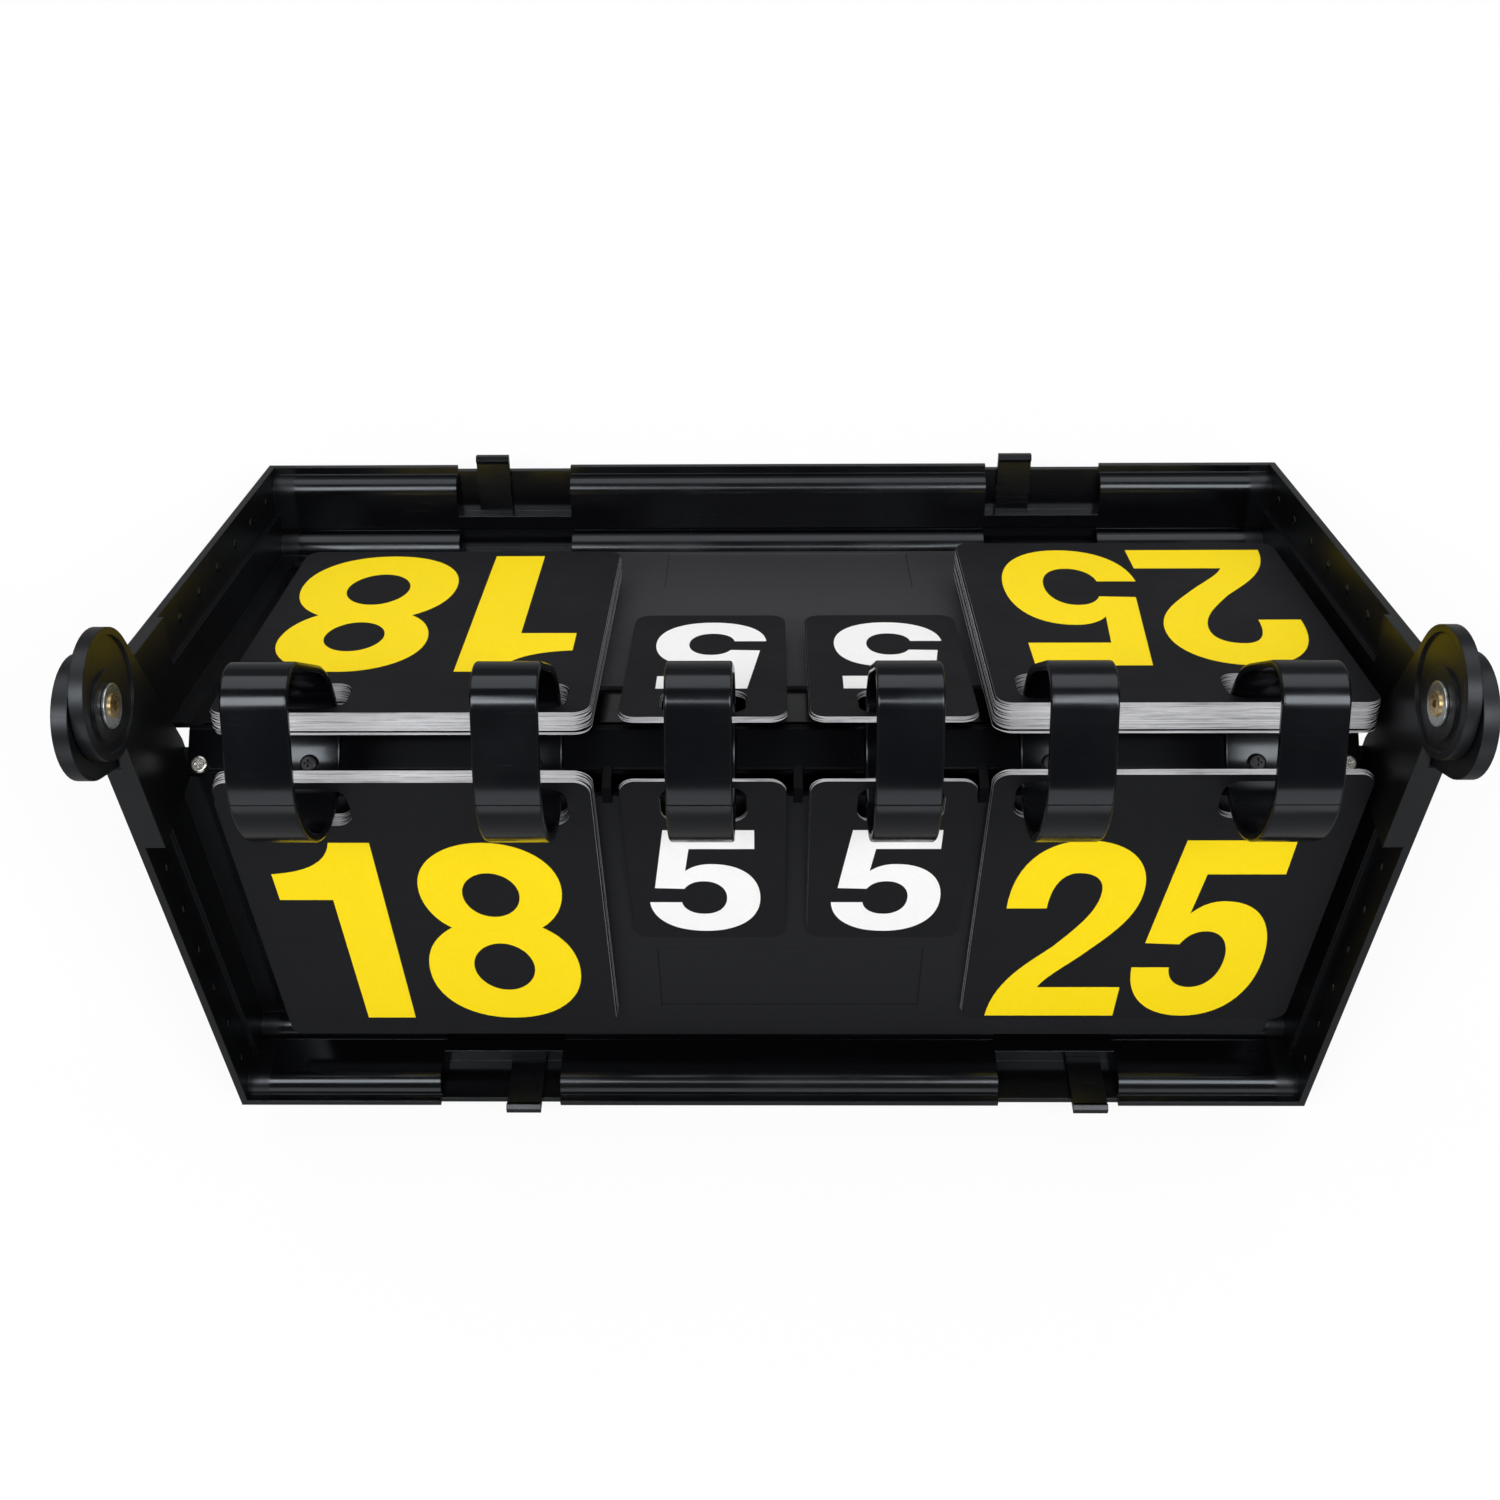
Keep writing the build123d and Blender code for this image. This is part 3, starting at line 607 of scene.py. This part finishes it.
digit_eight = [[
    (0.79, 0.546), [(0.93, 0.49), (1, 0.40), (1, 0.29)], [(1, 0.12), (0.80, 0), (0.50, 0)],
    [(0.20, 0), (0, 0.12), (0, 0.29)], [(0, 0.40), (0.07, 0.49), (0.21, 0.546)],
    [(0.11, 0.59), (0.05, 0.67), (0.05, 0.755)], [(0.05, 0.90), (0.25, 1), (0.50, 1)],
    [(0.75, 1), (0.95, 0.90), (0.95, 0.755)], [(0.95, 0.67), (0.89, 0.59), (0.79, 0.546)],
], [
    (0.30, 0.315), [(0.30, 0.39), (0.39, 0.455), (0.50, 0.455)], [(0.61, 0.455), (0.70, 0.39), (0.70, 0.315)],
    [(0.70, 0.24), (0.61, 0.176), (0.50, 0.176)], [(0.39, 0.176), (0.30, 0.24), (0.30, 0.315)],
], [
    (0.32, 0.727), [(0.32, 0.79), (0.40, 0.843), (0.50, 0.843)], [(0.60, 0.843), (0.68, 0.79), (0.68, 0.727)],
    [(0.68, 0.66), (0.60, 0.606), (0.50, 0.606)], [(0.40, 0.606), (0.32, 0.66), (0.32, 0.727)],
]]
# The nine is the six turned by half a turn.
digit_nine = [
    [
        [(1 - x, 1 - y) for x, y in step] if isinstance(step, list) else (1 - step[0], 1 - step[1])
        for step in loop
    ]
    for loop in digit_six
]
digits = {
    "1": digit_one, "2": digit_two, "5": digit_five, "6": digit_six, "8": digit_eight, "9": digit_nine,
}
curve_steps = 14
same_point = 1e-6


def drawn(loop):
    """The points of one closed loop, with its curves divided into short straight runs."""
    points = [Vector(loop[0])]
    for step in loop[1:]:
        if isinstance(step, tuple):
            points.append(Vector(step))
            continue
        start = points[-1]
        first, second, end = [Vector(p) for p in step]
        for k in range(1, curve_steps + 1):
            t = k / curve_steps
            rest = 1 - t
            points.append(
                start * rest ** 3 + first * 3 * t * rest ** 2 + second * 3 * t * t * rest + end * t ** 3
            )
    if (points[0] - points[-1]).length < same_point:
        points.pop()
    return points


ink_height = 0.03 * MM
ink_specular = 0.1
ink_root = 0.02 * MM


def printed(name, placed, paper, body, ink_name):
    """Digits of ink on a card's face.

    placed holds each digit with its middle and width, and paper the face's frame and the digits'
    top and height.
    """
    origin, right, up, out, top, height = paper
    sheet = bmesh.new()
    for digit, middle, width in placed:
        loops = [drawn(loop) for loop in digits[digit]]
        rings = []
        for loop in loops:
            places = [
                origin + right * (middle + (p.x - 0.5) * width) + up * (p.y * height - top - height)
                for p in loop
            ]
            upper = [sheet.verts.new(place + out * ink_height) for place in places]
            lower = [sheet.verts.new(place - out * ink_root) for place in places]
            rings.append((upper, lower))
            for k in range(len(places)):
                m = (k + 1) % len(places)
                sheet.faces.new((lower[k], lower[m], upper[m], upper[k]))
        for side in (0, 1):
            flat = [vertex for ring in rings for vertex in ring[side]]
            for triangle in tessellate_polygon([[p.to_3d() for p in loop] for loop in loops]):
                sheet.faces.new([flat[k] for k in triangle])
    bmesh.ops.recalc_face_normals(sheet, faces=sheet.faces)
    mesh = bpy.data.meshes.new(name)
    sheet.to_mesh(mesh)
    sheet.free()
    mesh.materials.append(inks[ink_name])
    piece = bpy.data.objects.new(name, mesh)
    bpy.context.scene.collection.objects.link(piece)
    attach(piece, body)


def ink(name, colour, worn):
    """Screen ink: an even colour with faint mottling and a slightly uneven sheen."""
    material = bpy.data.materials.new(name)
    material.use_nodes = True
    tree = material.node_tree
    shader = tree.nodes["Principled BSDF"]
    place = tree.nodes.new("ShaderNodeTexCoord")
    mottle_noise = noise_node(tree, scale=900.0, detail=3.0, rough=0.6)
    mottle_amount = map_node(tree, 0.35, 0.75, 0.0, 1.0)
    mottle = colour_mix(tree, colour, worn)
    sheen_noise = noise_node(tree, scale=60.0, detail=3.0)
    sheen = map_node(tree, 0.3, 0.7, 0.42, 0.55)
    relief = tree.nodes.new("ShaderNodeBump")
    relief.inputs["Distance"].default_value = fine_relief
    wire(
        tree,
        (place.outputs["Object"], mottle_noise.inputs["Vector"]),
        (mottle_noise.outputs["Fac"], mottle_amount.inputs["Value"]),
        (mottle_amount.outputs["Result"], mottle.inputs["Factor"]),
        (mottle.outputs["Result"], shader.inputs["Base Color"]),
        (place.outputs["Object"], sheen_noise.inputs["Vector"]),
        (sheen_noise.outputs["Fac"], sheen.inputs["Value"]),
        (sheen.outputs["Result"], shader.inputs["Roughness"]),
        (mottle_noise.outputs["Fac"], relief.inputs["Height"]),
        (relief.outputs["Normal"], shader.inputs["Normal"]),
    )
    shader.inputs["Specular IOR Level"].default_value = ink_specular
    return material


inks = {
    "yellow": ink("yellow_ink", (0.98, 0.73, 0.002), (0.96, 0.705, 0.002)),
    "white": ink("white_ink", (0.95, 0.95, 0.94), (0.92, 0.92, 0.92)),
}

# Widths, middles, tops and heights of the digits are in millimetres.
digit_widths = {
    "score_left": {"1": 34.4, "8": 52.1, "9": 50.0},
    "score_right": {"2": 45.9, "5": 44.3, "6": 46.0},
    "set_left": {"5": 36.7, "6": 36.5},
    "set_right": {"5": 36.1, "6": 36.0},
}
front_middles = {
    "score_left": (-144.7, -92.0), "set_left": (-22.0,), "set_right": (37.8,), "score_right": (99.5, 147.0),
}
rear_middles = {
    "score_left": (-82.9, -138.5), "set_left": (-20.0,), "set_right": (39.0,), "score_right": (153.5, 104.2),
}
front_tops = {"score_left": 45.5, "score_right": 48.0, "set_left": 41.5, "set_right": 41.5}
rear_tops = {"score_left": 45.5, "score_right": 43.0, "set_left": 38.5, "set_right": 38.5}
rear_widening = {"score": 1.055, "set": 1.0}
digit_heights = {"score": 95.5, "set": 55.3}
showing = {"score_left": "18", "set_left": "5", "set_right": "5", "score_right": "25"}
coming = {"score_left": "19", "set_left": "6", "set_right": "6", "score_right": "26"}


def number_on(group, node, number, face, body):
    """Prints a number on the front or the back face of a node's cards."""
    down, normal, low, high = card_face(node)
    kind = "score" if group.startswith("score") else "set"
    read_from_rear = face == "back" or node.endswith("rear_pile")
    middles, tops, widening = front_middles[group], front_tops, 1.0
    if read_from_rear:
        middles, tops, widening = rear_middles[group], rear_tops, rear_widening[kind]
    right = Vector((-1, 0, 0)) if read_from_rear else Vector((1, 0, 0))
    out = -normal if face == "back" else normal
    level = low if face == "back" else high
    placed = [
        (digit, middle * MM * right.x, digit_widths[group][digit] * widening * MM)
        for digit, middle in zip(number, middles)
    ]
    origin = Vector((0, ring_centre.y, ring_centre.z)) + normal * level
    paper = (origin, right, -down, out, tops[group] * MM, digit_heights[kind] * MM)
    ink_name = "yellow" if kind == "score" else "white"
    printed(f"{node}_{face}_number", placed, paper, body, ink_name)


for group in card_groups:
    number_on(group, group + "_card", showing[group], "front", group + "_flip")
    number_on(group, group + "_card", coming[group], "back", group + "_flip")
    number_on(group, group + "_front_pile", coming[group], "front", "front_half")
    number_on(group, group + "_rear_pile", showing[group], "front", "rear_cards")


# Pips: an assumed moulding detail that the photograph doesn't show: a row of six small round pips
# on the inside of each side wall. A Geometry Nodes group repeats one flat pip along a line.
pip_values = {"Count": 6, "Spacing": 21.0 * MM, "Radius": 1.7 * MM, "Rise": 0.5 * MM}
pip_segments = 32
pip_rings = 16
inner_wall = 192.5 * MM
first_pip = 78.0 * MM
pip_depth = 8.5 * MM
pip_tree = bpy.data.node_groups.new("pip_row", "GeometryNodeTree")
pip_sockets = {}
for socket in pip_values:
    kind = "NodeSocketInt" if socket == "Count" else "NodeSocketFloat"
    made = pip_tree.interface.new_socket(socket, in_out="INPUT", socket_type=kind)
    pip_sockets[socket] = made.identifier
pip_tree.interface.new_socket("Geometry", in_out="OUTPUT", socket_type="NodeSocketGeometry")
pip_in = pip_tree.nodes.new("NodeGroupInput")
pip_out = pip_tree.nodes.new("NodeGroupOutput")
pip_step = pip_tree.nodes.new("ShaderNodeCombineXYZ")
pip_line = pip_tree.nodes.new("GeometryNodeMeshLine")
pip_ball = pip_tree.nodes.new("GeometryNodeMeshUVSphere")
pip_ball.inputs["Segments"].default_value = pip_segments
pip_ball.inputs["Rings"].default_value = pip_rings
pip_flat = pip_tree.nodes.new("ShaderNodeCombineXYZ")
pip_flat.inputs["X"].default_value = 1.0
pip_flat.inputs["Y"].default_value = 1.0
pip_ratio = math_node(pip_tree, "DIVIDE")
pip_spread = pip_tree.nodes.new("GeometryNodeInstanceOnPoints")
pip_real = pip_tree.nodes.new("GeometryNodeRealizeInstances")
pip_smooth = pip_tree.nodes.new("GeometryNodeSetShadeSmooth")
pip_paint = pip_tree.nodes.new("GeometryNodeSetMaterial")
pip_paint.inputs["Material"].default_value = tab_plastic
wire(
    pip_tree,
    (pip_in.outputs["Count"], pip_line.inputs["Count"]),
    (pip_in.outputs["Spacing"], pip_step.inputs["X"]),
    (pip_step.outputs["Vector"], pip_line.inputs["Offset"]),
    (pip_in.outputs["Radius"], pip_ball.inputs["Radius"]),
    (pip_in.outputs["Rise"], pip_ratio.inputs[0]),
    (pip_in.outputs["Radius"], pip_ratio.inputs[1]),
    (pip_ratio.outputs[0], pip_flat.inputs["Z"]),
    (pip_line.outputs["Mesh"], pip_spread.inputs["Points"]),
    (pip_ball.outputs["Mesh"], pip_spread.inputs["Instance"]),
    (pip_flat.outputs["Vector"], pip_spread.inputs["Scale"]),
    (pip_spread.outputs["Instances"], pip_real.inputs["Geometry"]),
    (pip_real.outputs["Geometry"], pip_smooth.inputs["Geometry"]),
    (pip_smooth.outputs["Geometry"], pip_paint.inputs["Geometry"]),
    (pip_paint.outputs["Geometry"], pip_out.inputs["Geometry"]),
)
for half in ("front", "rear"):
    down, normal, _, _ = card_face(half + "_panel")
    for end, way in (("left", -1), ("right", 1)):
        name = f"{half}_{end}_pips"
        row = bpy.data.objects.new(name, bpy.data.meshes.new(name))
        bpy.context.scene.collection.objects.link(row)
        place = ridge + down * first_pip - normal * pip_depth
        place.x = way * inner_wall
        inward = Vector((-way, 0, 0))
        row.matrix_world = Matrix.Translation(place) @ Matrix(
            (down, inward.cross(down), inward)
        ).transposed().to_4x4()
        repeat = row.modifiers.new("pip_row", "NODES")
        repeat.node_group = pip_tree
        for socket, value in pip_values.items():
            repeat[pip_sockets[socket]] = value
        bpy.context.view_layer.update()
        evaluated = row.evaluated_get(bpy.context.evaluated_depsgraph_get())
        baked = bpy.data.meshes.new_from_object(evaluated)
        row.modifiers.remove(repeat)
        row.data = baked
        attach(row, half + "_half")
